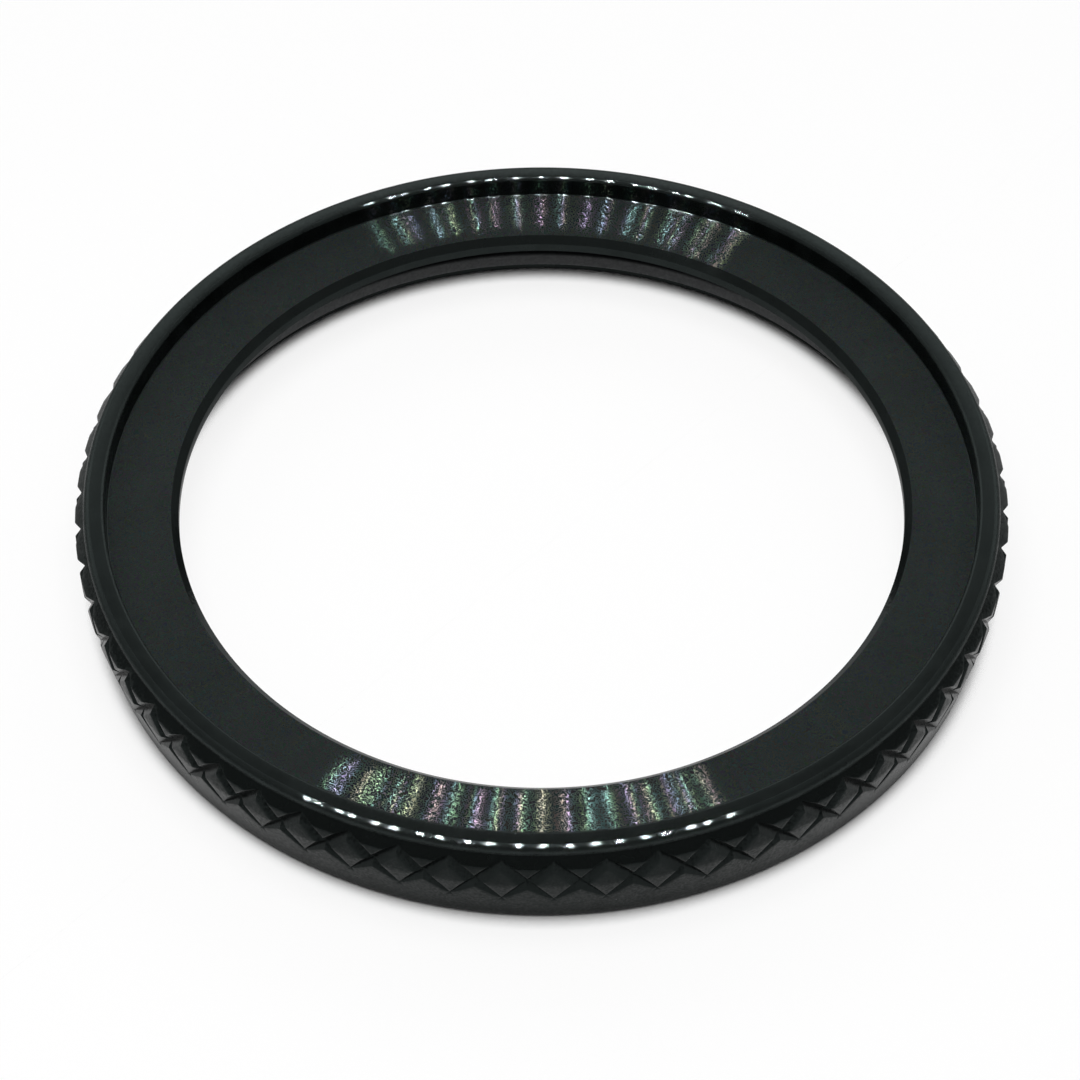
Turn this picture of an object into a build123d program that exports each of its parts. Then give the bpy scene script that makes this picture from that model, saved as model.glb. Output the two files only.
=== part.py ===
from build123d import *
import os
from math import atan2, degrees, hypot, pi, radians, tan

# Rotating bezel for a diver's watch: a knurled steel ring, and the rubber gasket on the
# watch case that the ring snaps over and turns on. Millimetres. The ring turns about Z.
# Height zero is the ring's underside, and the ring lies on it with its insert recess up.

# The insert that drops into the ring's recess from above. The ring's walls are set out from it
insert_diameter = 38.0
insert_gap = 0.05
recess_depth = 1.05

# The seat under the insert, and the hole inside it, where the watch crystal stands
seat_width = 3.12
hole_chamfer = 0.30
hole_lower_chamfer = 0.08
web_thickness = 0.80

# The ring's outside, from the rim down to the base
ring_height = 4.90
rim_wall = 0.95
rim_wall_height = 0.40
rim_outer_radius = 0.30
rim_inner_break = 0.06
bevel_width = 0.40
bevel_height = 0.45
upright_side_height = 1.12
base_inset = 0.57
base_edge_break = 0.15

# The ring's inside, which goes over the neck of the watch case
skirt_wall = 1.53
lip_width = 0.50
lip_height = 0.70
lead_in = 0.20

# Crossed grooves round the side, which leave one row of diamonds. Their roots stay upright
# where the side leans in towards the base, so each groove runs out by itself below
diamond_count = 60
diamond_height = 2.57
diamond_drop = 1.03
groove_depth = 0.30
groove_angle = 90.0
groove_reach_share = 1.25

# Click teeth under the web, steep on one side so that the ring turns one way only
click_count = 120
tooth_depth = 0.30
tooth_length = 1.20
tooth_width_share = 0.85
tooth_sink = 0.10

# The gasket on the case, held between the ring's lip and its web
gasket_width = 0.85
gasket_height = 0.75
gasket_edge_break = 0.12
running_gap = 0.05

# How far a cutter stands past the surface that it cuts
cut_overrun = 0.50

recess_radius = insert_diameter / 2 + insert_gap
hole_radius = recess_radius - seat_width
rim_radius = recess_radius + rim_wall
ring_radius = rim_radius + bevel_width
base_radius = ring_radius - base_inset
neck_radius = base_radius - skirt_wall
lip_radius = neck_radius - lip_width

seat_height = ring_height - recess_depth
web_underside = seat_height - web_thickness
bevel_top = ring_height - rim_wall_height
shoulder_height = bevel_top - bevel_height
lean_top = shoulder_height - upright_side_height
base_break_radius = base_radius + base_edge_break * base_inset / lean_top

# Corners of the ring's section: distance from the axis, height, and rounding of the corner
section_corners = [
    (lip_radius + lead_in, 0, 0),
    (base_radius - base_edge_break, 0, 0),
    (base_break_radius, base_edge_break, 0),
    (ring_radius, lean_top, 0),
    (ring_radius, shoulder_height, 0),
    (rim_radius, bevel_top, 0),
    (rim_radius, ring_height, rim_outer_radius),
    (recess_radius + rim_inner_break, ring_height, 0),
    (recess_radius, ring_height - rim_inner_break, 0),
    (recess_radius, seat_height, 0),
    (hole_radius + hole_chamfer, seat_height, 0),
    (hole_radius, seat_height - hole_chamfer, 0),
    (hole_radius, web_underside + hole_lower_chamfer, 0),
    (hole_radius + hole_lower_chamfer, web_underside, 0),
    (neck_radius, web_underside, 0),
    (neck_radius, lip_height, 0),
    (lip_radius, lip_height, 0),
    (lip_radius, lead_in, 0),
]

# Each groove is straight. Its root touches the root radius at the middle row of crossings,
# and it climbs half a diamond's height while it goes half a diamond round the ring.
half_pitch = 180 / diamond_count
root_radius = ring_radius - groove_depth
crossing_height = shoulder_height - diamond_drop
groove_run = root_radius * tan(radians(half_pitch))
groove_climb = diamond_height / 2
groove_half_length = groove_reach_share * hypot(groove_run, groove_climb)
groove_mouth = groove_depth + cut_overrun
groove_half_width = groove_mouth * tan(radians(groove_angle / 2))


def groove_plane(hand):
    """Return the plane square to a groove that climbs to the left (-1) or the right (+1)."""
    return Plane(
        origin=(root_radius, 0, crossing_height),
        x_dir=(1, 0, 0),
        z_dir=(0, hand * groove_run, groove_climb),
    )


def groove_cutter(hand):
    """Return the V-shaped bar that cuts one groove, with its root edge as the groove's root."""
    with BuildPart() as cutter:
        with BuildSketch(groove_plane(hand)):
            with BuildLine():
                Polyline(
                    (0, 0),
                    (groove_mouth, groove_half_width),
                    (groove_mouth, -groove_half_width),
                    close=True,
                )
            make_face()
        extrude(amount=groove_half_length, both=True)
    return cutter.part


groove_cutters = [groove_cutter(hand) for hand in (-1, 1)]

# One click tooth: a bar under the web with a steep face and a long ramp, its outer end and
# its top let into the metal that carries it
tooth_inner_radius = neck_radius - tooth_length
tooth_width = tooth_width_share * 2 * pi * tooth_inner_radius / click_count
tooth_tip = web_underside - tooth_depth

with BuildPart() as click_tooth:
    with BuildSketch(Plane.YZ.offset(tooth_inner_radius)):
        with BuildLine():
            Polyline(
                (-tooth_width / 2, web_underside + tooth_sink),
                (-tooth_width / 2, tooth_tip),
                (tooth_width / 2, web_underside),
                (tooth_width / 2, web_underside + tooth_sink),
                close=True,
            )
        make_face()
    extrude(amount=tooth_length + tooth_sink)

# The ring: one turned blank, its knurl grooves cut from the side and its teeth under the web
with BuildPart() as bezel_ring:
    with BuildSketch(Plane.XZ):
        with BuildLine():
            FilletPolyline(
                *[(across, height) for across, height, rounding in section_corners],
                radius=[rounding for across, height, rounding in section_corners],
                close=True,
            )
        make_face()
    revolve(axis=Axis.Z)
    for cutter in groove_cutters:
        with PolarLocations(0, diamond_count, start_angle=half_pitch):
            add(cutter, mode=Mode.SUBTRACT, clean=False)
    with PolarLocations(0, click_count):
        add(click_tooth.part, clean=False)

# The gasket stands clear of the ring by the running gap, outside and underneath
gasket_outer_radius = neck_radius - running_gap
gasket_foot = lip_height + running_gap

with BuildPart() as bezel_gasket:
    with BuildSketch(Plane.XZ) as gasket_section:
        with Locations((gasket_outer_radius, gasket_foot)):
            Rectangle(gasket_width, gasket_height, align=(Align.MAX, Align.MIN))
        chamfer(gasket_section.vertices(), length=gasket_edge_break)
    revolve(axis=Axis.Z)

os.makedirs("parts", exist_ok=True)
bezel_ring.part.label = "bezel_ring"
bezel_gasket.part.label = "bezel_gasket"
export_step(bezel_ring.part, "parts/bezel_ring.step")
export_step(bezel_gasket.part, "parts/bezel_gasket.step")

groove_slope = degrees(atan2(groove_climb, groove_run))
print(f"grooves lean {groove_slope:.1f} degrees from level")
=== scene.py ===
"""Dresses the rotating watch bezel: a knurled black steel ring and its rubber gasket.

Sizes are in millimetres and angles in degrees, and meshes are turned into metres at the end.
The knurl, the teeth and the turned section repeat round the axis, so each piece is modelled
as one 6 degree sector, and a Geometry Nodes tree sets the sectors round the axis.
"""

import logging
import math
from collections.abc import Mapping
from dataclasses import dataclass, field
from enum import Enum
from typing import NamedTuple

import bmesh
import bpy
import numpy as np
from mathutils import Matrix, Vector
from mathutils.geometry import delaunay_2d_cdt


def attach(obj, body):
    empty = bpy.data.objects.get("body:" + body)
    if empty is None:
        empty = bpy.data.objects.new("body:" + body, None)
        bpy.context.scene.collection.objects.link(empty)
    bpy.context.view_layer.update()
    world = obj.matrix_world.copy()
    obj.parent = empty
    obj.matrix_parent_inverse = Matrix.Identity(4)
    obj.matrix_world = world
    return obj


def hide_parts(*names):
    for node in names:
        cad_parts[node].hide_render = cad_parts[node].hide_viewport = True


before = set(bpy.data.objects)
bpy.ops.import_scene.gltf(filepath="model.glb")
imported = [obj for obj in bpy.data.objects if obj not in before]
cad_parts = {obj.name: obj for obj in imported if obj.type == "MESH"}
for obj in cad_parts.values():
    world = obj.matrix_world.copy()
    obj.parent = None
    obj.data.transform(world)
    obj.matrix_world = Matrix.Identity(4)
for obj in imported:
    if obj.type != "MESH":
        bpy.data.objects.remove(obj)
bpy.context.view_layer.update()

Socket = bpy.types.NodeSocket
Sockets = bpy.types.bpy_prop_collection
Object = bpy.types.Object
Material = bpy.types.Material
Colour = tuple[float, float, float, float]
Place = tuple[float, float, float]
Spot = tuple[float, float]
Range = tuple[float, ...]

log = logging.getLogger("bezel")
MM = 0.001
WHITE: Colour = (1.0, 1.0, 1.0, 1.0)
NOISE_MIDDLE = 0.5


class Slot(Enum):
    """The record's material slots."""

    STEEL = "black_steel"
    RUBBER = "gasket_rubber"


class Zone(Enum):
    """Parts of a piece's surface that have a finish of their own."""

    SEAT = 0
    RIM = 1
    KNURL = 2
    INSIDE = 3
    RUBBER = 4
    RIM_EDGE = 5


class Hand(Enum):
    """Which way a groove climbs, seen from outside."""

    LEFT = -1
    RIGHT = 1


class Kind(Enum):
    """The kinds of value that a node group takes and gives."""

    NUMBER = "NodeSocketFloat"
    VECTOR = "NodeSocketVector"
    COLOUR = "NodeSocketColor"


def add_object(name: str, data: bpy.types.ID) -> Object:
    """Add an object to the scene.

    Args:
        name: its name.
        data: its mesh, lamp or camera.

    Returns:
        The object.
    """
    made = bpy.data.objects.new(name, data)
    bpy.context.scene.collection.objects.link(made)
    return made


class Graph:
    """A node tree being built, with short ways to add the usual nodes.

    A Mix node has sockets for every kind of value, and mix_inputs and mix_output are its colours'.
    """

    column_width = 180
    row_height = 220
    columns = 12
    mix_inputs = (0, 6, 7)
    mix_output = 2

    def __init__(self, tree: bpy.types.NodeTree) -> None:
        """Keep the tree and count the nodes that are added."""
        self.tree = tree
        self.count = 0

    def feed(self, socket: Socket, value: object) -> None:
        """Link an output to a socket, or set the socket's own value.

        Args:
            socket: the input socket.
            value: an output socket, a number, a vector or a colour.
        """
        if isinstance(value, Socket):
            self.tree.links.new(value, socket)
        else:
            socket.default_value = value

    def fill(self, node: bpy.types.Node, given: Mapping[str | int, object]) -> None:
        """Feed a node's inputs, which are given by their names or numbers."""
        for key, value in given.items():
            self.feed(node.inputs[key], value)

    def add(
        self, kind: str, given: Mapping[str | int, object] | None = None, **settings: object
    ) -> bpy.types.Node:
        """Add a node.

        Args:
            kind: Blender's name for the type of node.
            given: what its inputs get, by their names or numbers.
            settings: attributes to set on it first.

        Returns:
            The new node.
        """
        node = self.tree.nodes.new(kind)
        row, column = divmod(self.count, self.columns)
        node.location = (self.column_width * column, -self.row_height * row)
        self.count += 1
        for name, value in settings.items():
            setattr(node, name, value)
        self.fill(node, given or {})
        return node

    def math(self, operation: str, *values: object, clamp: bool = False) -> Socket:
        """Add a Math node with its inputs in order, and give its output."""
        given = dict(enumerate(values))
        return self.add("ShaderNodeMath", given, operation=operation, use_clamp=clamp).outputs[0]

    def vector(self, operation: str, *values: object) -> Socket:
        """Add a Vector Math node.

        Args:
            operation: the node's operation.
            values: its inputs in order; for SCALE the second is the scale.

        Returns:
            The node's vector.
        """
        keys = (0, "Scale") if operation == "SCALE" else range(len(values))
        node = self.add("ShaderNodeVectorMath", dict(zip(keys, values)), operation=operation)
        return node.outputs["Vector"]

    def noise(self, place: Socket, scale: object, detail: float) -> Socket:
        """Add a Noise Texture with this scale and so many finer layers, and give its value."""
        return self.add("ShaderNodeTexNoise", {"Vector": place, "Scale": scale, "Detail": detail}).outputs[0]

    def smooth_range(
        self, value: object, low: float, high: float, to_low: float = 0.0, to_high: float = 1.0
    ) -> Socket:
        """Map a value smoothly, to to_low at low and below, and to to_high at high and above."""
        given = {"Value": value, "From Min": low, "From Max": high, "To Min": to_low, "To Max": to_high}
        return self.add("ShaderNodeMapRange", given, interpolation_type="SMOOTHSTEP").outputs["Result"]

    def mix_colour(self, share: object, first: object, second: object, blend: str = "MIX") -> Socket:
        """Mix two colours.

        Args:
            share: the second colour's share.
            first: the first colour.
            second: the second colour.
            blend: how they are mixed.

        Returns:
            The mixed colour.
        """
        given = dict(zip(self.mix_inputs, (share, first, second)))
        node = self.add("ShaderNodeMix", given, data_type="RGBA", blend_type=blend)
        return node.outputs[self.mix_output]


def new_material(name: str) -> tuple[Material, Graph]:
    """Make a material that uses nodes.

    Args:
        name: its name.

    Returns:
        The material and its graph.
    """
    material = bpy.data.materials.new(name)
    material.use_nodes = True
    return material, Graph(material.node_tree)


class EffectGroup:
    """A shader node group that more than one material uses."""

    name = "effect"
    inputs: dict[str, Kind] = {}
    outputs: dict[str, Kind] = {}

    def __init__(self) -> None:
        """Make the group's tree, its sockets and its nodes."""
        self.tree = bpy.data.node_groups.new(self.name, "ShaderNodeTree")
        for way, sockets in (("INPUT", self.inputs), ("OUTPUT", self.outputs)):
            for name, kind in sockets.items():
                self.tree.interface.new_socket(name, in_out=way, socket_type=kind.value)
        graph = Graph(self.tree)
        given = graph.add("NodeGroupInput").outputs
        graph.add("NodeGroupOutput", self.build(graph, given))

    def build(self, graph: Graph, given: Sockets) -> dict[str, Socket]:
        """Add the group's nodes to its graph, and give what it puts out by name."""
        raise NotImplementedError

    def place(self, graph: Graph, given: Mapping[str, object]) -> Sockets:
        """Place the group in a material with its inputs' values by name, and give its outputs."""
        return graph.add("ShaderNodeGroup", given, node_tree=self.tree).outputs


class TurningMarks(EffectGroup):
    """Fine ring-shaped tool marks, which tip the surface in and out but never sideways."""

    name = "turning_marks"
    inputs = {"Position": Kind.VECTOR} | dict.fromkeys(
        (
            "Grain per mm", "Slope", "Rise", "Fall", "Bands", "Coverage", "Lines per mm", "Smooth", "Rough",
            "Bare", "Worn", "Rising", "Rising Worn", "Rising Rough",
        ),
        Kind.NUMBER,
    )
    outputs = {"Normal": Kind.VECTOR} | dict.fromkeys(
        ("Marked", "Roughness", "Metallic", "Rising"), Kind.NUMBER
    )
    detail = 1.0
    line_bands = 5.0
    lines_aside = (31.0, 17.0, 5.0)
    cloud_per_mm = 0.9
    cloud_detail = 2.0
    cloud_range = (0.3, 0.7, 0.9, 1.1)

    def build(self, graph: Graph, given: Sockets) -> dict[str, Socket]:
        """Tip the normal along the section by a slope that differs from spot to spot.

        Args:
            graph: the group's graph.
            given: the group's inputs.

        Returns:
            What the group puts out, by name.
        """
        spot = graph.vector("SCALE", given["Position"], 1 / MM)
        grain = graph.noise(spot, given["Grain per mm"], self.detail)
        grain = graph.math("FRACT", graph.math("MULTIPLY", grain, given["Bands"]))
        aside = graph.vector("ADD", spot, self.lines_aside)
        lines = graph.noise(aside, given["Lines per mm"], self.detail)
        wave = graph.math("FRACT", graph.math("MULTIPLY", lines, self.line_bands))
        marked = graph.math("LESS_THAN", wave, given["Coverage"])
        rising_part = graph.math("MULTIPLY", given["Coverage"], given["Rising"])
        rising = graph.math("LESS_THAN", wave, rising_part)
        flanks = graph.math("ADD", given["Rise"], given["Fall"])
        flank = graph.math("SUBTRACT", graph.math("MULTIPLY", rising, flanks), given["Fall"])
        slope = graph.math("MULTIPLY", graph.math("SUBTRACT", grain, NOISE_MIDDLE), given["Slope"])
        slope = graph.math("MULTIPLY", graph.math("ADD", slope, flank), marked)
        normal = graph.add("ShaderNodeNewGeometry").outputs["Normal"]
        across = graph.vector("CROSS_PRODUCT", normal, self.along_ring(graph, given["Position"]))
        tipped = graph.vector("ADD", normal, graph.vector("SCALE", across, slope))
        cloud = graph.noise(spot, self.cloud_per_mm, self.cloud_detail)
        cloud = graph.smooth_range(cloud, *self.cloud_range)
        rough = self.choose(graph, marked, rising, given["Smooth"], given["Rough"], given["Rising Rough"])
        metal = self.choose(graph, marked, rising, given["Bare"], given["Worn"], given["Rising Worn"])
        return {
            "Normal": graph.vector("NORMALIZE", tipped),
            "Marked": marked,
            "Roughness": graph.math("MULTIPLY", rough, cloud),
            "Metallic": graph.math("MULTIPLY", metal, cloud),
            "Rising": rising,
        }

    def along_ring(self, graph: Graph, position: Socket) -> Socket:
        """Give the direction along the ring at a place.

        Args:
            graph: the group's graph.
            position: the place about the ring's axis.

        Returns:
            The direction, one unit long, as the scene has it.
        """
        parts = graph.add("ShaderNodeSeparateXYZ", {0: position}).outputs
        back = graph.math("MULTIPLY", parts[1], -1.0)
        along = graph.add("ShaderNodeCombineXYZ", {0: back, 1: parts[0]}).outputs[0]
        turned = graph.add(
            "ShaderNodeVectorTransform", {0: graph.vector("NORMALIZE", along)},
            vector_type="VECTOR", convert_from="OBJECT", convert_to="WORLD",
        )
        return turned.outputs[0]

    def choose(
        self, graph: Graph, marked: Socket, rising: Socket, ground: Socket, falling: Socket, risen: Socket
    ) -> Socket:
        """Choose among three values, for the ground between the marks and for each flank of a mark.

        Args:
            graph: the group's graph.
            marked: 1 on the marks.
            rising: 1 on their rising flanks.
            ground: the value on the ground.
            falling: the value on falling flanks.
            risen: the value on rising flanks.

        Returns:
            The value.
        """
        change = graph.math("MULTIPLY", rising, graph.math("SUBTRACT", risen, falling))
        change = graph.math("SUBTRACT", graph.math("ADD", falling, change), ground)
        return graph.math("ADD", ground, graph.math("MULTIPLY", marked, change))


class FilmTint(EffectGroup):
    """The faint hues that a hard black coating shows over fine marks, and a painted shade that darkens the
    marks.
    """

    name = "film_tint"
    inputs = {"Position": Kind.VECTOR, "Base": Kind.COLOUR} | dict.fromkeys(
        ("Patches", "Amount", "Marked", "Rising", "Shade"), Kind.NUMBER
    )
    outputs = {"Colour": Kind.COLOUR}
    ring_radius = 17.5
    patch_detail = 1.0
    hue_turns = 7.0
    rising_shift = 0.5
    cloud_per_mm = 0.45
    cloud_detail = 3.0
    cloud_depth = 0.25

    def build(self, graph: Graph, given: Sockets) -> dict[str, Socket]:
        """Let the hue wander round the ring, and stay the same from the hole to the rim.

        Args:
            graph: the group's graph.
            given: the group's inputs.

        Returns:
            What the group puts out, by name.
        """
        flat = graph.vector("NORMALIZE", graph.vector("MULTIPLY", given["Position"], (1.0, 1.0, 0.0)))
        patch = graph.noise(
            graph.vector("SCALE", flat, self.ring_radius), given["Patches"], self.patch_detail
        )
        hue = graph.math("MULTIPLY", patch, self.hue_turns)
        hue = graph.math("ADD", hue, graph.math("MULTIPLY", given["Rising"], self.rising_shift))
        spot = graph.vector("SCALE", given["Position"], 1 / MM)
        cloud = graph.noise(spot, self.cloud_per_mm, self.cloud_detail)
        light = graph.math("MULTIPLY", graph.math("SUBTRACT", cloud, NOISE_MIDDLE), self.cloud_depth)
        # painted shade: Shade darkens the marks' colour, for the shadow that their flanks cast on each other
        shade = graph.math("SUBTRACT", 1.0, graph.math("MULTIPLY", given["Shade"], given["Marked"]))
        colour = graph.add(
            "ShaderNodeCombineColor",
            {
                0: graph.math("FRACT", hue),
                1: graph.math("MULTIPLY", given["Amount"], given["Marked"]),
                2: graph.math("MULTIPLY", graph.math("ADD", 1.0, light), shade),
            },
            mode="HSV",
        )
        return {"Colour": graph.mix_colour(1.0, given["Base"], colour.outputs[0], "MULTIPLY")}


class Effects(NamedTuple):
    """The groups that every steel finish uses."""

    marks: TurningMarks
    tint: FilmTint


@dataclass(frozen=True)
class BlackSteel:
    """Black coated steel, turned or ground, brighter or duller by zone.

    Attributes:
        name: the material's name.
        effects: the shared groups.
        brightness: how light the coat is.
        slope: how far the grain tips the surface in and out.
        grain: how fine the grain is, per millimetre.
        bands: how often the grain's noise runs through its range.
        rough: the roughness of the marks.
        worn: the metallic share of the marks.
        rising_rough: the roughness of the marks' rising flanks, where it differs.
        rising_worn: the metallic share of those flanks, where it differs.
        rise: how far a rising flank tips the surface.
        fall: how far a falling flank tips it the other way.
        rising: the share of the marks that is a rising flank.
        coverage: the share of the surface that has marks.
        lines: how fine the marks are, per millimetre.
        smooth: the roughness of the ground between the marks.
        bare: the metallic share of that ground.
        tint: how strong the coat's hues are on the marks.
        patches: how fast the hue changes round the ring.
        shade: how much darker the marks are painted, a painted shade for the shadow that a mark's flanks cast
            on each other.
        stretch: how far glints are drawn out across the marks.
        stretch_turn: their direction, as a share of a whole turn.
        cast: the coat's own colour.
        edge: how much it reflects at a grazing angle.
    """

    name: str
    effects: Effects = field(repr=False)
    brightness: float
    slope: float
    grain: float = 8.0
    bands: float = 1.0
    rough: float = 0.07
    worn: float = 0.7
    rising_rough: float | None = None
    rising_worn: float | None = None
    rise: float = 0.0
    fall: float = 0.0
    rising: float = 0.5
    coverage: float = 1.0
    lines: float = 5.0
    smooth: float = 0.05
    bare: float = 0.7
    tint: float = 0.0
    patches: float = 0.6
    shade: float = 0.0
    stretch: float = 1.0
    stretch_turn: float = 0.25
    cast: tuple[float, float, float] = (0.82, 1.0, 0.97)
    edge: Colour = (0.7, 0.7, 0.7, 1.0)

    def make(self) -> Material:
        """Build the material.

        Returns:
            The material.
        """
        material, graph = new_material(self.name)
        position = graph.add("ShaderNodeTexCoord").outputs["Object"]
        marks = self.effects.marks.place(graph, {
            "Position": position, "Grain per mm": self.grain, "Slope": self.slope, "Bands": self.bands,
            "Rise": self.rise, "Fall": self.fall, "Coverage": self.coverage, "Lines per mm": self.lines,
            "Smooth": self.smooth, "Rough": self.rough, "Bare": self.bare, "Worn": self.worn,
            "Rising": self.rising,
            "Rising Worn": self.worn if self.rising_worn is None else self.rising_worn,
            "Rising Rough": self.rough if self.rising_rough is None else self.rising_rough,
        })
        tint = self.effects.tint.place(graph, {
            "Position": position, "Base": (*(self.brightness * part for part in self.cast), 1.0),
            "Patches": self.patches, "Amount": self.tint, "Shade": self.shade,
            "Marked": marks["Marked"], "Rising": marks["Rising"],
        })
        tangent = graph.add("ShaderNodeTangent", direction_type="RADIAL", axis="Z")
        graph.fill(graph.tree.nodes["Principled BSDF"], {
            "Base Color": tint["Colour"], "Normal": marks["Normal"], "Metallic": marks["Metallic"],
            "Roughness": marks["Roughness"], "Specular IOR Level": 0.0, "Specular Tint": self.edge,
            "Anisotropic": self.stretch, "Anisotropic Rotation": self.stretch_turn,
            "Tangent": tangent.outputs[0],
        })
        return material


@dataclass(frozen=True)
class Rubber:
    """Matte black moulded rubber with a fine dusty grain."""

    name: str
    colour: Colour = (0.018, 0.020, 0.021, 1.0)
    worn: Colour = (0.030, 0.033, 0.035, 1.0)
    grain_per_mm: float = 9.0
    grain_detail: float = 3.0
    grain_height: float = 0.004
    cloud_per_mm: float = 0.7
    cloud_detail: float = 2.0
    rough_range: Range = (0.3, 0.7, 0.55, 0.75)

    def make(self) -> Material:
        """Build the material.

        Returns:
            The material.
        """
        material, graph = new_material(self.name)
        spot = graph.vector("SCALE", graph.add("ShaderNodeTexCoord").outputs["Object"], 1 / MM)
        grain = graph.noise(spot, self.grain_per_mm, self.grain_detail)
        cloud = graph.noise(spot, self.cloud_per_mm, self.cloud_detail)
        bump = graph.add("ShaderNodeBump", {"Height": grain, "Distance": self.grain_height * MM})
        graph.fill(graph.tree.nodes["Principled BSDF"], {
            "Base Color": graph.mix_colour(cloud, self.colour, self.worn),
            "Roughness": graph.smooth_range(grain, *self.rough_range),
            "Normal": bump.outputs[0],
        })
        return material


class Stop(NamedTuple):
    """A point of a turned section, and the zone of the band of faces that leads to it."""

    zone: Zone
    across: float
    height: float


def rounded(
    zones: tuple[Zone, Zone], centre: Spot, radius: float, start: float, end: float, steps: int
) -> list[Stop]:
    """Give a rounded corner of a turned section.

    Args:
        zones: the zone that leads to the corner, and the corner's own.
        centre: its centre, as distance from the axis and height.
        radius: its radius.
        start: the first point's direction, in degrees up from straight outwards.
        end: the last point's direction.
        steps: how many bands of faces it has.

    Returns:
        The corner's points.
    """
    angles = [math.radians(start + (end - start) * k / steps) for k in range(steps + 1)]
    return [
        Stop(zones[k > 0], centre[0] + radius * math.cos(a), centre[1] + radius * math.sin(a))
        for k, a in enumerate(angles)
    ]


@dataclass
class SectorMesh:
    """Points and faces of one sector, gathered in millimetres about the axis."""

    points: list[Place] = field(default_factory=list)
    faces: list[tuple[int, ...]] = field(default_factory=list)
    zones: list[int] = field(default_factory=list)

    def point(self, turn: float, across: float, height: float) -> int:
        """Add a point.

        Args:
            turn: its angle about the axis, in degrees.
            across: its distance from the axis.
            height: its height.

        Returns:
            The point's index.
        """
        angle = math.radians(turn)
        self.points.append((across * math.cos(angle), across * math.sin(angle), height))
        return len(self.points) - 1

    def row(self, turns: list[float], across: float, height: float) -> list[int]:
        """Add a row of points at one radius and height."""
        return [self.point(turn, across, height) for turn in turns]

    def face(self, zone: Zone, *corners: int) -> None:
        """Add a face without its repeated corners, if three or more are left.

        Args:
            zone: the zone that it belongs to.
            corners: its points in order.
        """
        corners = tuple(dict.fromkeys(corners))
        if len(corners) >= 3:
            self.faces.append(corners)
            self.zones.append(zone.value)

    def bridge(self, zone: Zone, lower: list[int], upper: list[int]) -> None:
        """Join two rows of points that have equal counts with four-sided faces."""
        for k in range(len(lower) - 1):
            self.face(zone, lower[k], lower[k + 1], upper[k + 1], upper[k])

    def sweep(self, turns: list[float], last: list[int], path: list[Stop]) -> list[int]:
        """Lead faces from a row along a turned section.

        Args:
            turns: the angles that each row has points at.
            last: the row to start from.
            path: the section's points.

        Returns:
            The row at the section's end.
        """
        for stop in path:
            row = self.row(turns, stop.across, stop.height)
            self.bridge(stop.zone, last, row)
            last = row
        return last

    def zip_rows(
        self, zone: Zone, first: list[int], first_turns: list[float],
        second: list[int], second_turns: list[float],
    ) -> None:
        """Join two rows of points whose counts differ with triangles.

        Args:
            zone: the zone that the faces belong to.
            first: the first row's points.
            first_turns: their angles.
            second: the second row's points.
            second_turns: their angles.
        """
        i = j = 0
        while i < len(first) - 1 or j < len(second) - 1:
            step_first = j == len(second) - 1 or (
                i < len(first) - 1 and first_turns[i + 1] <= second_turns[j + 1]
            )
            if step_first:
                self.face(zone, first[i], first[i + 1], second[j])
                i += 1
            else:
                self.face(zone, first[i], second[j + 1], second[j])
                j += 1

    def object(self, name: str) -> Object:
        """Make the sector's object, in metres, with each face's zone as an attribute.

        Args:
            name: the object's name.

        Returns:
            The object.
        """
        mesh = bpy.data.meshes.new(name)
        mesh.from_pydata([tuple(c * MM for c in point) for point in self.points], [], self.faces)
        mesh.attributes.new("zone", "INT", "FACE").data.foreach_set("value", self.zones)
        return add_object(name, mesh)


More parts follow.
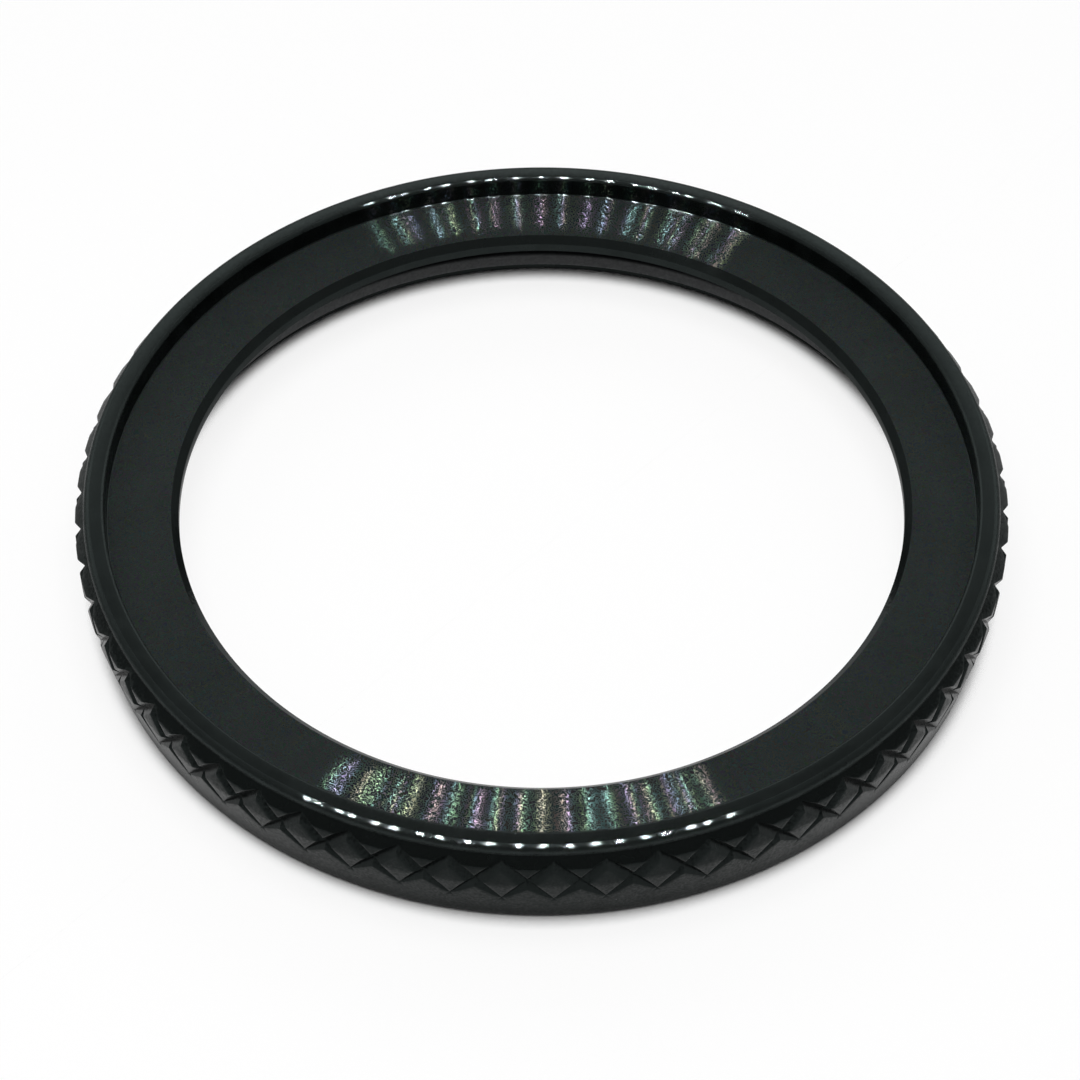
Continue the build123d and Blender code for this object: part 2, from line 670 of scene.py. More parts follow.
class PolarArray:
    """A Geometry Nodes tree that sets a sector round the axis and gives each zone its finish."""

    weld_distance = 0.002
    whole_number_inputs = (2, 3)

    def __init__(self, zones: list[Zone]) -> None:
        """Build the tree.

        Args:
            zones: the zones that the piece has.
        """
        self.zones = zones
        self.tree = bpy.data.node_groups.new("polar_array", "GeometryNodeTree")
        sockets = self.tree.interface
        sockets.new_socket("Sector", in_out="INPUT", socket_type="NodeSocketGeometry")
        kinds = {"Count": "NodeSocketInt", "Weld Distance": "NodeSocketFloat"}
        kinds |= {f"Finish {zone.name}": "NodeSocketMaterial" for zone in zones}
        self.sockets = {
            name: sockets.new_socket(name, in_out="INPUT", socket_type=kind).identifier
            for name, kind in kinds.items()
        }
        sockets.new_socket("Ring", in_out="OUTPUT", socket_type="NodeSocketGeometry")
        graph = Graph(self.tree)
        given = graph.add("NodeGroupInput").outputs
        points = graph.add("GeometryNodePoints", {"Count": given["Count"]})
        step = graph.math("DIVIDE", 2 * math.pi, given["Count"])
        index = graph.add("GeometryNodeInputIndex").outputs[0]
        rotation = graph.add("ShaderNodeCombineXYZ", {2: graph.math("MULTIPLY", index, step)})
        copies = graph.add("GeometryNodeInstanceOnPoints", {
            "Points": points.outputs[0], "Instance": given["Sector"], "Rotation": rotation.outputs[0],
        })
        real = graph.add("GeometryNodeRealizeInstances", {0: copies.outputs[0]})
        last = graph.add("GeometryNodeMergeByDistance", {
            "Geometry": real.outputs[0], "Distance": given["Weld Distance"],
        })
        zone_of = graph.add("GeometryNodeInputNamedAttribute", {"Name": "zone"}, data_type="INT")
        first, second = self.whole_number_inputs
        for zone in zones:
            same = graph.add(
                "FunctionNodeCompare", {first: zone_of.outputs["Attribute"], second: zone.value},
                data_type="INT", operation="EQUAL",
            )
            last = graph.add("GeometryNodeSetMaterial", {
                "Geometry": last.outputs[0], "Selection": same.outputs[0],
                "Material": given[f"Finish {zone.name}"],
            })
        graph.add("NodeGroupOutput", {0: last.outputs[0]})

    def apply(
        self, sector: Object, name: str, count: int, finishes: dict[Zone, Material], crease: float
    ) -> Object:
        """Set a sector round the axis and make the result a plain mesh.

        Args:
            sector: the sector's object, which is removed.
            name: the finished piece's name.
            count: how many sectors go round.
            finishes: each zone's material.
            crease: edges that turn by more than this angle stay sharp.

        Returns:
            The finished piece.
        """
        modifier = sector.modifiers.new("polar_array", "NODES")
        modifier.node_group = self.tree
        modifier[self.sockets["Count"]] = count
        modifier[self.sockets["Weld Distance"]] = self.weld_distance * MM
        for zone in self.zones:
            modifier[self.sockets[f"Finish {zone.name}"]] = finishes[zone]
        whole = self.plain_copy(sector, name + "_whole")
        shell = bmesh.new()
        shell.from_mesh(whole.data)
        bmesh.ops.recalc_face_normals(shell, faces=shell.faces)
        loose = sum(1 for edge in shell.edges if len(edge.link_faces) != 2)
        shell.to_mesh(whole.data)
        shell.free()
        log.info("%s: %d faces, %d open edges", name, len(whole.data.polygons), loose)
        whole.data.shade_smooth()
        whole.data.set_sharp_from_angle(angle=math.radians(crease))
        evened = whole.modifiers.new("evened_normals", "WEIGHTED_NORMAL")
        evened.keep_sharp = True
        evened.mode = "FACE_AREA"
        return self.plain_copy(whole, name)

    def plain_copy(self, source: Object, name: str) -> Object:
        """Put a plain mesh, with the modifiers applied, in an object's place.

        Args:
            source: the object with modifiers, which is removed.
            name: the new object's name.

        Returns:
            The new object.
        """
        evaluated = source.evaluated_get(bpy.context.evaluated_depsgraph_get())
        mesh = bpy.data.meshes.new_from_object(evaluated)
        mesh.name = name
        bpy.data.objects.remove(source)
        return add_object(name, mesh)


@dataclass
class Groove:
    """One straight V groove of the knurl, which passes a crossing on the root radius."""

    hand: Hand
    crossing_turn: float
    crossing_height: float
    root_radius: float
    run: float
    climb: float

    def __post_init__(self) -> None:
        """Work out the groove's length from one row of crossings to the next."""
        self.length = math.hypot(self.run, self.climb)

    def surface(self, turn: np.ndarray, height: np.ndarray) -> np.ndarray:
        """Give the groove's distance from the axis.

        Args:
            turn: angles about the axis, in degrees.
            height: heights.

        Returns:
            The distances.
        """
        angle = np.radians(turn - self.crossing_turn)
        lean = self.climb * np.sin(angle) / self.length
        offset = self.hand.value * self.run * (height - self.crossing_height) / self.length
        right = (self.root_radius - offset) / (np.cos(angle) - lean)
        left = (self.root_radius + offset) / (np.cos(angle) + lean)
        return np.maximum(right, left)

    def spot(self, along: np.ndarray, aside: np.ndarray) -> tuple[np.ndarray, np.ndarray]:
        """Give the angle and height of points on the groove's faces.

        Args:
            along: distances along the root from the crossing.
            aside: distances from the root, square to it, with their side as sign.

        Returns:
            The angles in degrees and the heights.
        """
        out = self.root_radius + np.abs(aside)
        side = (self.hand.value * self.run * along + self.climb * aside) / self.length
        up = (self.climb * along - self.hand.value * self.run * aside) / self.length
        return self.crossing_turn + np.degrees(np.arctan2(side, out)), self.crossing_height + up


@dataclass
class SideLines:
    """Spots on the unrolled side, as angles and heights, and the lines that join them."""

    spots: list[Spot] = field(default_factory=list)
    edges: list[tuple[int, int]] = field(default_factory=list)

    def line(self, points: list[Spot | None]) -> None:
        """Add a line of spots.

        Args:
            points: its spots, with None where it is broken.
        """
        last = None
        for point in points:
            if point is None:
                last = None
                continue
            self.spots.append(point)
            if last is not None:
                self.edges.append((last, len(self.spots) - 1))
            last = len(self.spots) - 1


@dataclass
class BezelRing:
    """The knurled ring, with the seat for the insert, the click teeth and the lip below.

    Its sizes come in four groups: the turned section, the knurl, the teeth, and how finely the
    mesh follows them.
    """

    recess_radius: float = 19.05
    hole_radius: float = 15.93
    rim_radius: float = 20.0
    ring_radius: float = 20.4
    base_radius: float = 19.83
    neck_radius: float = 18.30
    lip_radius: float = 17.80
    ring_height: float = 4.90
    bevel_top: float = 4.50
    shoulder_height: float = 4.05
    seat_height: float = 3.85
    web_underside: float = 3.05
    lean_top: float = 2.93
    lip_height: float = 0.70
    lead_in: float = 0.20
    base_edge_break: float = 0.15
    hole_chamfer: float = 0.30
    hole_lower_chamfer: float = 0.08
    rim_outer_rounding: float = 0.30
    rim_inner_rounding: float = 0.15
    seat_fillet: float = 0.05
    edge_softness: float = 0.02
    corner_out_share: float = 0.30
    corner_down_share: float = 0.22
    chamfer_share: float = 0.50

    diamond_count: int = 60
    diamond_height: float = 2.57
    diamond_drop: float = 1.03
    groove_depth: float = 0.30
    crest_softness: float = 0.035
    bevel_softness: float = 0.04
    lean_softness: float = 0.03

    flush_corners = (1, 4)
    deep_corners = (2, 5)
    tooth_depth: float = 0.30
    tooth_inner_radius: float = 17.10
    tooth_width: float = 0.7611
    tooth_foot_share: float = 1.5

    columns: int = 6
    rim_outer_steps: int = 14
    rim_inner_steps: int = 8
    fillet_steps: int = 4
    seat_steps: int = 3
    band_foot: float = 1.30
    recess_row: float = 0.40
    neck_row: float = 0.60
    base_row: float = 0.35
    crease: float = 25.0

    groove_steps: int = 31
    groove_reach_share: float = 1.15
    crest_reach_share: float = 1.25
    crest_aside: float = 1.2
    crest_margin: float = 0.04
    halvings: int = 40
    level_samples: int = 4001
    filling_step: float = 0.20
    edge_gap: float = 0.07
    filling_gap: float = 0.09
    tolerance: float = 1e-4
    close_tolerance: float = 1e-6
    height_digits: int = 5
    turn_digits: int = 3

    def __post_init__(self) -> None:
        """Work out what the knurl's grooves and the columns follow from."""
        self.half = 180 / self.diamond_count
        self.root_radius = self.ring_radius - self.groove_depth
        self.crossing_height = self.shoulder_height - self.diamond_drop
        self.groove_run = self.root_radius * math.tan(math.radians(self.half))
        self.groove_climb = self.diamond_height / 2
        self.grooves = [
            Groove(hand, turn, self.crossing_height, self.root_radius, self.groove_run, self.groove_climb)
            for turn in (-self.half, self.half)
            for hand in Hand
        ]
        self.base_break_radius = (
            self.base_radius + self.base_edge_break * (self.ring_radius - self.base_radius) / self.lean_top
        )
        self.lean = (self.ring_radius - self.base_break_radius) / (self.lean_top - self.base_edge_break)
        self.turns = [self.half * (k / self.columns - 1) for k in range(2 * self.columns + 1)]
        self.levels = (-self.crest_softness, 0.0, self.crest_softness)

    @staticmethod
    def soft_min(first: np.ndarray, second: np.ndarray, softness: float) -> np.ndarray:
        """Give the lesser of two surfaces, rounded where they meet."""
        near = np.maximum(softness - np.abs(first - second), 0)
        return np.minimum(first, second) - near * near / (4 * softness)

    def turned_side(self, height: np.ndarray) -> np.ndarray:
        """Give the side's distance from the axis before the grooves are cut.

        Args:
            height: heights.

        Returns:
            The distances.
        """
        bevel = self.ring_radius - (self.ring_radius - self.rim_radius) * (height - self.shoulder_height) / (
            self.bevel_top - self.shoulder_height
        )
        leaning = self.ring_radius - self.lean * (self.lean_top - height)
        upright = np.full_like(height, self.ring_radius)
        side = self.soft_min(upright, leaning, self.lean_softness)
        return self.soft_min(side, bevel, self.bevel_softness)

    def grooved_side(self, turn: np.ndarray, height: np.ndarray) -> np.ndarray:
        """Give the side's distance from the axis with the grooves cut."""
        cut = np.min([groove.surface(turn, height) for groove in self.grooves], axis=0)
        return self.soft_min(self.turned_side(height), cut, self.crest_softness)

    def depth(self, groove: Groove, turn: np.ndarray, height: np.ndarray) -> np.ndarray:
        """Give how deep a groove's face lies under the turned side."""
        return self.turned_side(height) - groove.surface(turn, height)

    def across_line(self, height: float) -> list[Spot]:
        """Give a level line over half a sector, with a spot at each column."""
        return [(self.half * k / self.columns, height) for k in range(self.columns + 1)]

    def root_line(self, groove: Groove) -> list[Spot | None]:
        """Follow a groove's root where it lies under the turned side.

        Args:
            groove: the groove.

        Returns:
            The line's spots inside the half sector, with None outside it.
        """
        reach = self.groove_reach_share
        along = np.linspace(-reach, reach, self.groove_steps) * groove.length
        turn, height = groove.spot(along, np.zeros_like(along))
        shown = (turn > -self.close_tolerance) & (turn < self.half + self.close_tolerance)
        shown &= self.depth(groove, turn, height) > 0
        return [(float(t), float(h)) if k else None for t, h, k in zip(turn, height, shown)]

    def crest_line(self, groove: Groove, side: int, level: float) -> list[Spot | None]:
        """Follow a line of one depth on one face of a groove.

        Args:
            groove: the groove.
            side: which of its faces, -1 or 1.
            level: the depth to follow.

        Returns:
            The line's spots inside the half sector, with None outside it.
        """
        reach = self.crest_reach_share
        along = np.linspace(-reach, reach, self.groove_steps) * groove.length
        low, high = np.zeros(self.groove_steps), np.full(self.groove_steps, self.crest_aside)
        there = self.depth(groove, *groove.spot(along, low)) > level
        for _ in range(self.halvings):
            middle = (low + high) / 2
            deeper = self.depth(groove, *groove.spot(along, side * middle)) > level
            low, high = np.where(deeper, middle, low), np.where(deeper, high, middle)
        turn, height = groove.spot(along, side * low)
        others = [other.surface(turn, height) for other in self.grooves if other is not groove]
        keep = there & (groove.surface(turn, height) <= np.min(others, axis=0) + self.close_tolerance)
        keep &= (turn > self.crest_margin) & (turn < self.half - self.crest_margin)
        return [(float(t), float(h)) if k else None for t, h, k in zip(turn, height, keep)]

    def level_spots(self, start: Spot, end: Spot) -> list[Spot]:
        """Find where the grooves' depth passes the crest's levels on a straight line.

        Args:
            start: where the line starts.
            end: where it ends.

        Returns:
            The spots, level by level.
        """
        share = np.linspace(0, 1, self.level_samples)
        turn = start[0] + (end[0] - start[0]) * share
        height = start[1] + (end[1] - start[1]) * share
        cut = np.min([groove.surface(turn, height) for groove in self.grooves], axis=0)
        depth = self.turned_side(height) - cut
        spots = []
        for level in self.levels:
            passes = np.nonzero((depth[:-1] - level) * (depth[1:] - level) < 0)[0]
            spots += [(float(turn[k]), float(height[k])) for k in passes]
        return spots

    def side_lines(self, degree: float) -> SideLines:
        """Lay out the spots and lines of the side that its triangles have to follow.

        Args:
            degree: the length of one degree on the unrolled side.

        Returns:
            The spots and lines, over half a sector.
        """
        lines = SideLines()
        foot, top, middle = self.band_foot, self.bevel_top, self.crossing_height
        bevel_step = self.bevel_softness * (top - self.shoulder_height) / (self.ring_radius - self.rim_radius)
        lean_step = self.lean_softness / self.lean
        bends = [self.shoulder_height + bevel_step * k for k in (-1, 0, 1)]
        bends += [self.lean_top + lean_step * k for k in (-1, 0, 1)]
        crossings = [middle + self.groove_climb * k for k in (-1, 0, 1)]
        ladder = np.arange(foot + self.filling_step, top - self.filling_step / 2, self.filling_step)
        for height in (foot, top):
            lines.line(self.across_line(height))
        for turn in (0.0, self.half):
            found = [height for _, height in self.level_spots((turn, foot), (turn, top))]
            heights = sorted({round(h, self.height_digits) for h in bends + crossings + found})
            heights += [h for h in ladder if min(abs(h - other) for other in heights) > self.edge_gap]
            lines.line([(turn, h) for h in [foot, *sorted(heights), top]])
        ridge = self.level_spots((0.0, middle), (self.half, middle))
        lines.line([(0.0, middle), *sorted(ridge), (self.half, middle)])
        for groove in self.grooves:
            lines.line(self.root_line(groove))
            for side in (-1, 1):
                for level in self.levels:
                    lines.line(self.crest_line(groove, side, level))
        for height in bends:
            lines.line(self.across_line(height))
        taken = np.array(lines.spots) * (degree, 1)
        for k in range(1, self.columns):
            for height in ladder:
                point = np.array((self.half * k / self.columns * degree, height))
                if np.min(np.hypot(*(taken - point).T)) > self.filling_gap:
                    lines.spots.append((self.half * k / self.columns, float(height)))
        return lines

    def knurl_band(self, sector: SectorMesh) -> tuple[list[int], list[int]]:
        """Model the side from the bevel's top to below the grooves, over one whole sector.

        Args:
            sector: the sector that the band is added to.

        Returns:
            The rows of points along the band's top and foot.
        """
        degree = self.ring_radius * math.pi / 180
        lines = self.side_lines(degree)
        flat = [Vector((turn * degree, height)) for turn, height in lines.spots]
        found, _, faces, *_ = delaunay_2d_cdt(flat, lines.edges, [], 0, self.tolerance)
        turn = np.array([point.x / degree for point in found])
        height = np.array([point.y for point in found])
        turn[np.abs(turn) < self.tolerance] = 0.0
        turn[np.abs(turn - self.half) < self.tolerance] = self.half
        across = self.grooved_side(turn, height)
        at_top = height > self.bevel_top - self.tolerance
        at_foot = height < self.band_foot + self.tolerance
        across[at_top] = self.rim_radius
        rows: tuple[dict[float, int], dict[float, int]] = ({}, {})
        for mirror in (-1, 1):
            index = [sector.point(mirror * t, r, h) for t, r, h in zip(turn, across, height)]
            for face in faces:
                sector.face(Zone.KNURL, *[index[k] for k in face])
            for row, chosen in zip(rows, (at_top, at_foot)):
                for k in np.nonzero(chosen)[0]:
                    row.setdefault(round(mirror * turn[k], self.turn_digits), index[k])
        top, foot = ([row[t] for t in sorted(row)] for row in rows)
        return top, foot

    def turned_part(self, sector: SectorMesh, top: list[int]) -> list[int]:
        """Model the rim, the recess, the seat and the hole, from the bevel's top inwards.

        Args:
            sector: the sector that the faces are added to.
            top: the row along the bevel's top.

        Returns:
            The row on the web's underside, just outside the hole.
        """
        soft = self.edge_softness
        out, down = soft * self.corner_out_share, soft * self.corner_down_share
        half = soft * self.chamfer_share
        outer, inner, fillet = self.rim_outer_rounding, self.rim_inner_rounding, self.seat_fillet
        seat, edge, hole = self.seat_height, self.hole_radius + self.hole_chamfer, self.hole_radius
        chamfer_foot = seat - self.hole_chamfer
        lower = self.hole_lower_chamfer
        middle = (self.recess_radius + inner + self.rim_radius - outer) / 2
        path = rounded(
            (Zone.RIM_EDGE, Zone.RIM_EDGE), (self.rim_radius - outer, self.ring_height - outer), outer,
            0, 90, self.rim_outer_steps,
        )
        path.append(Stop(Zone.RIM, middle, self.ring_height))
        path += rounded(
            (Zone.RIM, Zone.RIM_EDGE), (self.recess_radius + inner, self.ring_height - inner), inner,
            90, 180, self.rim_inner_steps,
        )
        path.append(Stop(Zone.RIM, self.recess_radius, seat + self.recess_row))
        path += rounded(
            (Zone.RIM, Zone.RIM_EDGE), (self.recess_radius - fillet, seat + fillet), fillet,
            0, -90, self.fillet_steps,
        )
        path += [
            Stop(Zone.SEAT, (self.recess_radius * (self.seat_steps - k) + edge * k) / self.seat_steps, seat)
            for k in range(1, self.seat_steps)
        ]
        path += [
            Stop(Zone.SEAT, edge + soft, seat),
            Stop(Zone.INSIDE, edge + out, seat - down),
            Stop(Zone.INSIDE, edge - half, seat - soft),
            Stop(Zone.INSIDE, hole + soft, chamfer_foot + half),
            Stop(Zone.INSIDE, hole + down, chamfer_foot - out),
            Stop(Zone.INSIDE, hole, chamfer_foot - soft),
            Stop(Zone.INSIDE, hole, self.web_underside + lower),
            Stop(Zone.INSIDE, hole + lower, self.web_underside),
        ]
        return sector.sweep(self.turns, top, path)

    def tooth_angles(self, radius: float) -> list[float]:
        """Give the angles over one sector at which the teeth have corners, at a radius."""
        reach = math.degrees(math.asin(self.tooth_width / 2 / radius))
        return [-self.half, reach - self.half, -reach, 0.0, reach, self.half - reach, self.half]

    def click_teeth(self, sector: SectorMesh, hole_row: list[int]) -> list[int]:
        """Model the web's underside and the one-way teeth on it.

        Args:
            sector: the sector that the faces are added to.
            hole_row: the row on the underside beside the hole.

        Returns:
            The row on the neck's wall just below the teeth, at the outer tooth angles.
        """
        zone, web = Zone.INSIDE, self.web_underside
        near, far = self.tooth_inner_radius, self.neck_radius
        high, low = {}, {}
        for radius in (near, far):
            angles = self.tooth_angles(radius)
            high[radius] = sector.row(angles, radius, web)
            low[radius] = list(high[radius])
            for k, angle in enumerate(angles):
                drop = self.tooth_depth if k in self.deep_corners else self.tooth_depth / 2
                if k not in self.flush_corners:
                    low[radius][k] = sector.point(angle, radius, web - drop)
        sector.zip_rows(zone, hole_row, self.turns, high[near], self.tooth_angles(near))
        foot = sector.row(self.tooth_angles(far), far, web - self.tooth_foot_share * self.tooth_depth)
        for k in range(len(foot) - 1):
            j = k + 1
            gap = k in self.flush_corners
            over = high if gap else low
            sector.face(zone, over[near][k], over[near][j], over[far][j], over[far][k])
            if gap:
                sector.face(zone, high[near][j], low[near][j], low[far][j], high[far][j])
                sector.face(zone, high[far][k], high[far][j], low[far][j], foot[j], foot[k])
            else:
                sector.face(zone, high[near][k], high[near][j], low[near][j], low[near][k])
                sector.face(zone, low[far][k], low[far][j], foot[j], foot[k])
        return foot

    def lower_part(self, sector: SectorMesh, tooth_row: list[int], foot: list[int]) -> None:
        """Model the neck's wall, the lip and the base, and close them to the knurled band.

        Args:
            sector: the sector that the faces are added to.
            tooth_row: the row on the neck's wall below the teeth.
            foot: the row along the knurled band's foot.
        """
        soft, neck, lip = self.edge_softness, self.neck_radius, self.lip_radius
        side, edge_break, step = self.base_break_radius, self.base_edge_break, self.base_row
        first = sector.row(self.turns, neck, self.lip_height + self.neck_row)
        sector.zip_rows(Zone.INSIDE, tooth_row, self.tooth_angles(neck), first, self.turns)
        last = sector.sweep(self.turns, first, [
            Stop(Zone.INSIDE, neck, self.lip_height),
            Stop(Zone.INSIDE, lip + soft, self.lip_height),
            Stop(Zone.INSIDE, lip, self.lip_height - soft),
            Stop(Zone.INSIDE, lip, self.lead_in),
            Stop(Zone.INSIDE, lip + self.lead_in, 0.0),
            Stop(Zone.INSIDE, self.base_radius - edge_break, 0.0),
            Stop(Zone.KNURL, side - soft, edge_break - soft),
            Stop(Zone.KNURL, side + soft * self.lean, edge_break + soft),
            Stop(Zone.KNURL, side + self.lean * step, edge_break + step),
        ])
        sector.bridge(Zone.KNURL, last, foot)

    def build(self, finishes: dict[Zone, Material]) -> Object:
        """Model the ring and say what it stands for.

        Args:
            finishes: each zone's material.

        Returns:
            The finished piece.
        """
        sector = SectorMesh()
        top, foot = self.knurl_band(sector)
        hole_row = self.turned_part(sector, top)
        tooth_row = self.click_teeth(sector, hole_row)
        self.lower_part(sector, tooth_row, foot)
        array = PolarArray([Zone.SEAT, Zone.RIM, Zone.RIM_EDGE, Zone.KNURL, Zone.INSIDE])
        piece = array.apply(sector.object("ring_sector"), "ring", self.diamond_count, finishes, self.crease)
        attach(piece, "bezel")
        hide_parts("bezel_ring")
        return piece


@dataclass
class Gasket:
    """The rubber ring on the watch case, between the bezel's lip and its web."""

    outer_radius: float = 18.25
    width: float = 0.85
    foot: float = 0.75
    height: float = 0.75
    rounding: float = 0.12
    rounding_steps: int = 5
    columns: int = 6
    sectors: int = 60
    crease: float = 40.0

    def build(self, finishes: dict[Zone, Material]) -> Object:
        """Model the gasket and say what it stands for.

        Args:
            finishes: each zone's material.

        Returns:
            The finished piece.
        """
        sector = SectorMesh()
        span = 360 / self.sectors
        turns = [span * k / self.columns for k in range(self.columns + 1)]
        outer, inner = self.outer_radius - self.rounding, self.outer_radius - self.width + self.rounding
        low, high = self.foot + self.rounding, self.foot + self.height - self.rounding
        corners = {-90: (outer, low), 0: (outer, high), 90: (inner, high), 180: (inner, low)}
        rows = [
            sector.row(turns, stop.across, stop.height)
            for start, centre in corners.items()
            for stop in rounded(
                (Zone.RUBBER, Zone.RUBBER), centre, self.rounding, start, start + 90, self.rounding_steps
            )
        ]
        for k, row in enumerate(rows):
            sector.bridge(Zone.RUBBER, row, rows[(k + 1) % len(rows)])
        array = PolarArray([Zone.RUBBER])
        piece = array.apply(sector.object("gasket_sector"), "gasket", self.sectors, finishes, self.crease)
        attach(piece, "case_side")
        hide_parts("bezel_gasket")
        return piece


@dataclass(frozen=True)
class LampRow:
    """A straight row of small round lamps over the ring."""

    middle: Place
    step: Place
    count: int = 10
    width: float = 2.0
    length: float = 6.0
    watts: float = 0.10

    def places(self) -> list[Vector]:
        """Give the lamps' places about the row's middle."""
        middle, step = Vector(self.middle), Vector(self.step)
        return [middle + step * (k - (self.count - 1) / 2) for k in range(self.count)]


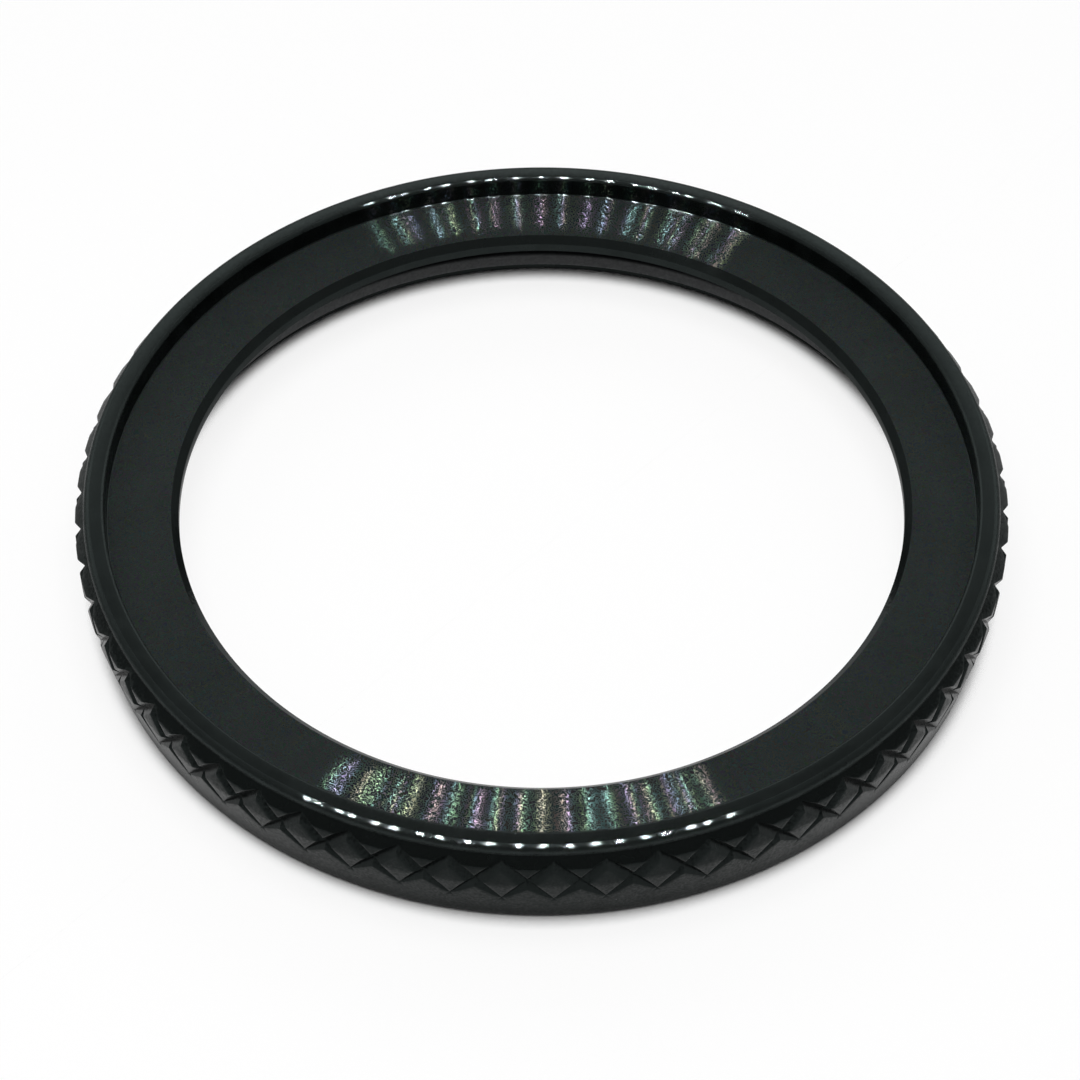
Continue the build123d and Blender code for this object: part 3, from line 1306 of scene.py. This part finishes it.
@dataclass
class Studio:
    """The floor, the soft surroundings, the small lamps and the camera.

    Places are given about the seat's middle, with Y away from the camera, and turned to the ring.
    A range says where a level starts and stops to change, and between which levels where it has
    four numbers. The world is a little lighter with depth, away from the camera, and has a light
    band there, between two heights.
    """

    turn: float = -1.296
    origin_height: float = 3.85
    camera_place: Place = (-0.0778, -92.855, 103.773)
    camera_tilt: float = 40.937
    camera_roll: float = -0.113
    camera_lens: float = 105.636
    camera_sensor: float = 36.0
    camera_clip: Range = (0.005, 20.0)
    lamp_rows: tuple[LampRow, ...] = (
        LampRow((-13.49, -17.48, 160.0), (13.97, 1.18, 2.37)),
        LampRow((-6.64, -10.32, 160.0), (13.60, 1.01, 1.67)),
    )
    key_place: Place = (-10.0, -14.0, 165.0)
    key_size: float = 120.0
    key_watts: float = 0.205
    depth_range: Range = (-0.75, 0.35, 0.20, 0.31)
    band_top: Range = (0.60, 0.80, 1.30, 0.0)
    band_foot: Range = (0.30, 0.50)
    band_depth: Range = (0.2, 0.7)
    floor_half: float = 1500.0
    floor_drop: float = 0.02
    floor_colour: Colour = (0.95, 0.95, 0.95, 1.0)
    # painted contact shadow on the floor: how far its occlusion reaches, its samples, and the occlusion
    # levels over which the painted shadow fades
    painted_shadow_reach: float = 1.15
    painted_shadow_samples: int = 6
    painted_shadow_range: Range = (0.33, 0.66)
    glow_share: float = 0.85

    def placed(self, place: Vector | Place) -> Vector:
        """Turn a place to the ring's frame, in metres."""
        turned = Matrix.Rotation(math.radians(self.turn), 3, "Z") @ Vector(place)
        return (turned + Vector((0, 0, self.origin_height))) * MM

    def camera(self) -> None:
        """Add the camera."""
        data = bpy.data.cameras.new("camera")
        data.sensor_width = self.camera_sensor
        data.lens = self.camera_lens
        data.clip_start, data.clip_end = self.camera_clip
        camera = add_object("camera", data)
        matrix = Matrix.Translation(self.placed(self.camera_place))
        for angle, axis in ((self.turn, "Z"), (self.camera_tilt, "X"), (self.camera_roll, "Z")):
            matrix = matrix @ Matrix.Rotation(math.radians(angle), 4, axis)
        camera.matrix_world = matrix
        bpy.context.scene.camera = camera

    def lamps(self) -> None:
        """Add the small round lamps, which only show as glints, and the soft key lamp."""
        for number, row in enumerate(self.lamp_rows):
            for k, place in enumerate(row.places()):
                data = bpy.data.lights.new(f"lamp_{number}_{k}", "AREA")
                data.shape = "ELLIPSE"
                data.size = row.width * MM
                data.size_y = row.length * MM
                data.energy = row.watts
                lamp = add_object(data.name, data)
                lamp.location = self.placed(place)
                lamp.visible_diffuse = False
        data = bpy.data.lights.new("key", "AREA")
        data.shape = "DISK"
        data.size = self.key_size * MM
        data.energy = self.key_watts
        key = add_object("key", data)
        key.location = self.placed(self.key_place)
        key.visible_glossy = False

    def surroundings(self) -> None:
        """Make the world: white where it is seen, soft greys where it lights and reflects."""
        world = bpy.data.worlds.new("studio")
        bpy.context.scene.world = world
        world.use_nodes = True
        graph = Graph(world.node_tree)
        sky = graph.add("ShaderNodeTexCoord").outputs["Generated"]
        turned = graph.add(
            "ShaderNodeVectorRotate", {"Vector": sky, "Angle": math.radians(-self.turn)},
            rotation_type="Z_AXIS",
        )
        _, depth, height = graph.add("ShaderNodeSeparateXYZ", {0: turned.outputs[0]}).outputs
        band = graph.smooth_range(height, *self.band_top)
        band = graph.math("MULTIPLY", band, graph.smooth_range(height, *self.band_foot))
        band = graph.math("MULTIPLY", band, graph.smooth_range(depth, *self.band_depth))
        level = graph.math("ADD", graph.smooth_range(depth, *self.depth_range), band)
        shade = world.node_tree.nodes["Background"]
        graph.fill(shade, {"Strength": level, "Color": WHITE})
        seen = graph.add("ShaderNodeBackground", {"Strength": 1.0, "Color": WHITE})
        camera_ray = graph.add("ShaderNodeLightPath").outputs["Is Camera Ray"]
        mix = graph.add("ShaderNodeMixShader", {0: camera_ray, 1: shade.outputs[0], 2: seen.outputs[0]})
        graph.fill(world.node_tree.nodes["World Output"], {"Surface": mix.outputs[0]})

    def floor(self) -> None:
        """Add the pale floor, which stays white, keeps the ring's real shadow in its diffuse share, and has a
        painted contact shadow: its white glow is dimmed where ambient occlusion finds the ring close.
        """
        half, height = self.floor_half * MM, -self.floor_drop * MM
        mesh = bpy.data.meshes.new("floor")
        corners = [(x * half, y * half, height) for x, y in ((-1, -1), (1, -1), (1, 1), (-1, 1))]
        mesh.from_pydata(corners, [], [(0, 1, 2, 3)])
        material, graph = new_material("floor_paper")
        nodes = graph.tree.nodes
        nodes.remove(nodes["Principled BSDF"])
        paper = graph.add("ShaderNodeBsdfDiffuse", {"Color": self.floor_colour})
        path = graph.add("ShaderNodeLightPath").outputs
        other = graph.math("ADD", path["Is Glossy Ray"], path["Is Transmission Ray"])
        seen = graph.math("ADD", path["Is Camera Ray"], other, clamp=True)
        # painted contact shadow: ambient occlusion near the ring dims the floor's white glow, as the camera
        # and reflections see it
        painted_shadow_occlusion = graph.add(
            "ShaderNodeAmbientOcclusion", {"Distance": self.painted_shadow_reach * MM}, samples=self.painted_shadow_samples
        )
        painted_shadow_level = graph.smooth_range(painted_shadow_occlusion.outputs["AO"], *self.painted_shadow_range)
        glow = graph.add("ShaderNodeEmission", {"Strength": graph.math("MULTIPLY", seen, painted_shadow_level)})
        mix = graph.add(
            "ShaderNodeMixShader", {0: self.glow_share, 1: paper.outputs[0], 2: glow.outputs[0]}
        )
        graph.fill(nodes["Material Output"], {"Surface": mix.outputs[0]})
        mesh.materials.append(material)
        floor = add_object("floor", mesh)

    def build(self) -> None:
        """Set up the whole studio."""
        bpy.context.scene.view_settings.view_transform = "Standard"
        self.camera()
        self.surroundings()
        self.lamps()
        self.floor()


def make_finishes() -> dict[Zone, Material]:
    """Make each zone's material.

    Returns:
        The materials by zone.
    """
    effects = Effects(TurningMarks(), FilmTint())
    finishes = {
        # the seat's shade paints its marks darker, a painted shade for the shadow between their flanks
        Zone.SEAT: BlackSteel(
            "seat_steel", effects, brightness=0.036, slope=0.26, grain=12.0, bands=4.0, rough=0.105,
            worn=0.14, rising_rough=0.085, rising_worn=0.06, rise=0.60, fall=0.35, coverage=0.85, lines=5.5,
            bare=0.2, tint=0.35, shade=0.1,
        ),
        Zone.RIM: BlackSteel("rim_steel", effects, brightness=0.034, slope=0.1, rough=0.05, worn=0.85),
        Zone.RIM_EDGE: BlackSteel(
            "rim_edge_steel", effects, brightness=0.034, slope=1.4, grain=40.0, rough=0.055
        ),
        Zone.KNURL: BlackSteel(
            "knurl_steel", effects, brightness=0.018, slope=0.3, rough=0.25, worn=0.8, stretch=0.0
        ),
        Zone.INSIDE: BlackSteel("inside_steel", effects, brightness=0.025, slope=0.1),
        Zone.RUBBER: Rubber("gasket_rubber"),
    }
    return {zone: finish.make() for zone, finish in finishes.items()}


def main() -> None:
    """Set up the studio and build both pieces."""
    logging.basicConfig(level=logging.INFO, format="%(message)s")
    Studio().build()
    finishes = make_finishes()
    for maker in (BezelRing(), Gasket()):
        piece = maker.build(finishes)
        log.info("built %s", piece.name)
    bpy.context.view_layer.update()


if __name__ == "__main__":
    main()
